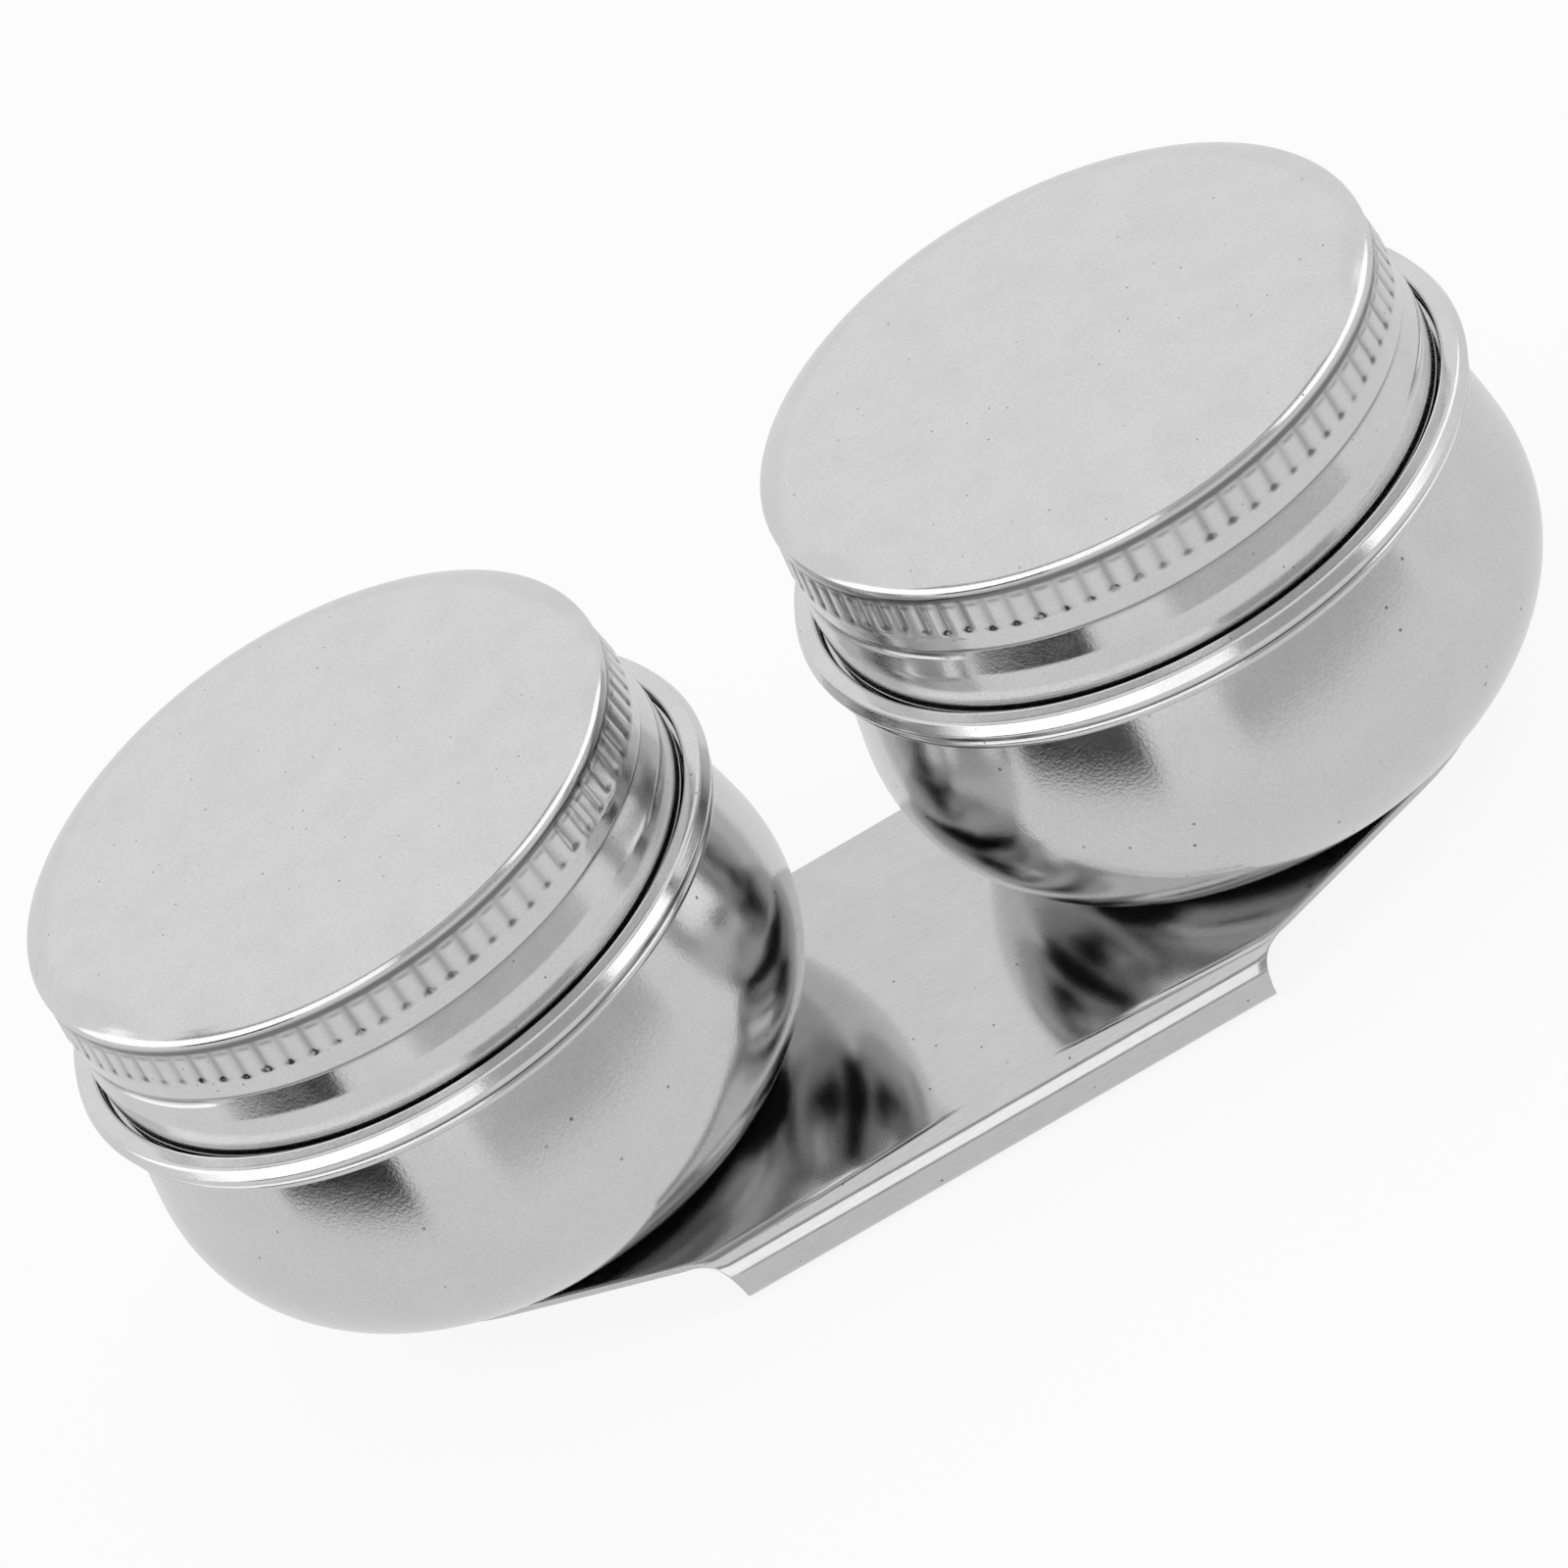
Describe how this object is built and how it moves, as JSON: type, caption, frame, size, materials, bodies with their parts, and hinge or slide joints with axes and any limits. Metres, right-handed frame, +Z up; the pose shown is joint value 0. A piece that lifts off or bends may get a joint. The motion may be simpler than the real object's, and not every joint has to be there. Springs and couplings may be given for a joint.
{
  "type": "palette cup clip",
  "caption": "Double palette cup: round pressed-steel bowls with knurled screw lids, welded to one folded sheet clip that slides onto the edge of a painter's palette.",
  "frame": {"origin": "under the middle of the pair of cups, on the level that the part stands on", "axes": "+X along the pair, from the left cup to the right cup; -Y towards the front with the folded edge of the clip; +Z up along both lid axes"},
  "size_m": [0.1088, 0.0502, 0.0395],
  "materials": {
    "clip_steel": "satin rolled steel sheet with fine scratches",
    "bowl_steel": "satin deep-drawn steel",
    "weld_steel": "dull spot-weld nugget",
    "neck_steel": "satin pressed steel",
    "lid_steel": "satin tinned steel with fine specks",
    "liner_foam": "matte white foam disc"
  },
  "bodies": {
    "cups": {"clip_plate": "clip_steel", "left_bowl": "bowl_steel", "left_weld_spots": "weld_steel", "left_neck_ring": "neck_steel", "right_bowl": "bowl_steel", "right_weld_spots": "weld_steel", "right_neck_ring": "neck_steel"},
    "left_seal": {"left_lid_liner": "liner_foam"},
    "left_cap": {"left_lid": "lid_steel"},
    "right_seal": {"right_lid_liner": "liner_foam"},
    "right_cap": {"right_lid": "lid_steel"}
  },
  "joints": [
    {"name": "left_lid_lift", "type": "slide", "parent": "cups", "child": "left_seal", "axis": [0, 0, 1], "range_m": [0, 0.0121]},
    {"name": "left_lid_turn", "type": "hinge", "parent": "left_seal", "child": "left_cap", "pos_m": [-0.0293, 0, 0.033], "axis": [0, 0, 1], "range_deg": [0, 1440]},
    {"name": "right_lid_lift", "type": "slide", "parent": "cups", "child": "right_seal", "axis": [0, 0, 1], "range_m": [0, 0.0121]},
    {"name": "right_lid_turn", "type": "hinge", "parent": "right_seal", "child": "right_cap", "pos_m": [0.0293, 0, 0.033], "axis": [0, 0, 1], "range_deg": [0, 1440]}
  ],
  "couplings": [
    {"joint": "left_lid_lift", "follows": "left_lid_turn", "m_per_rad": 0.00047746},
    {"joint": "right_lid_lift", "follows": "right_lid_turn", "m_per_rad": 0.00047746}
  ]
}
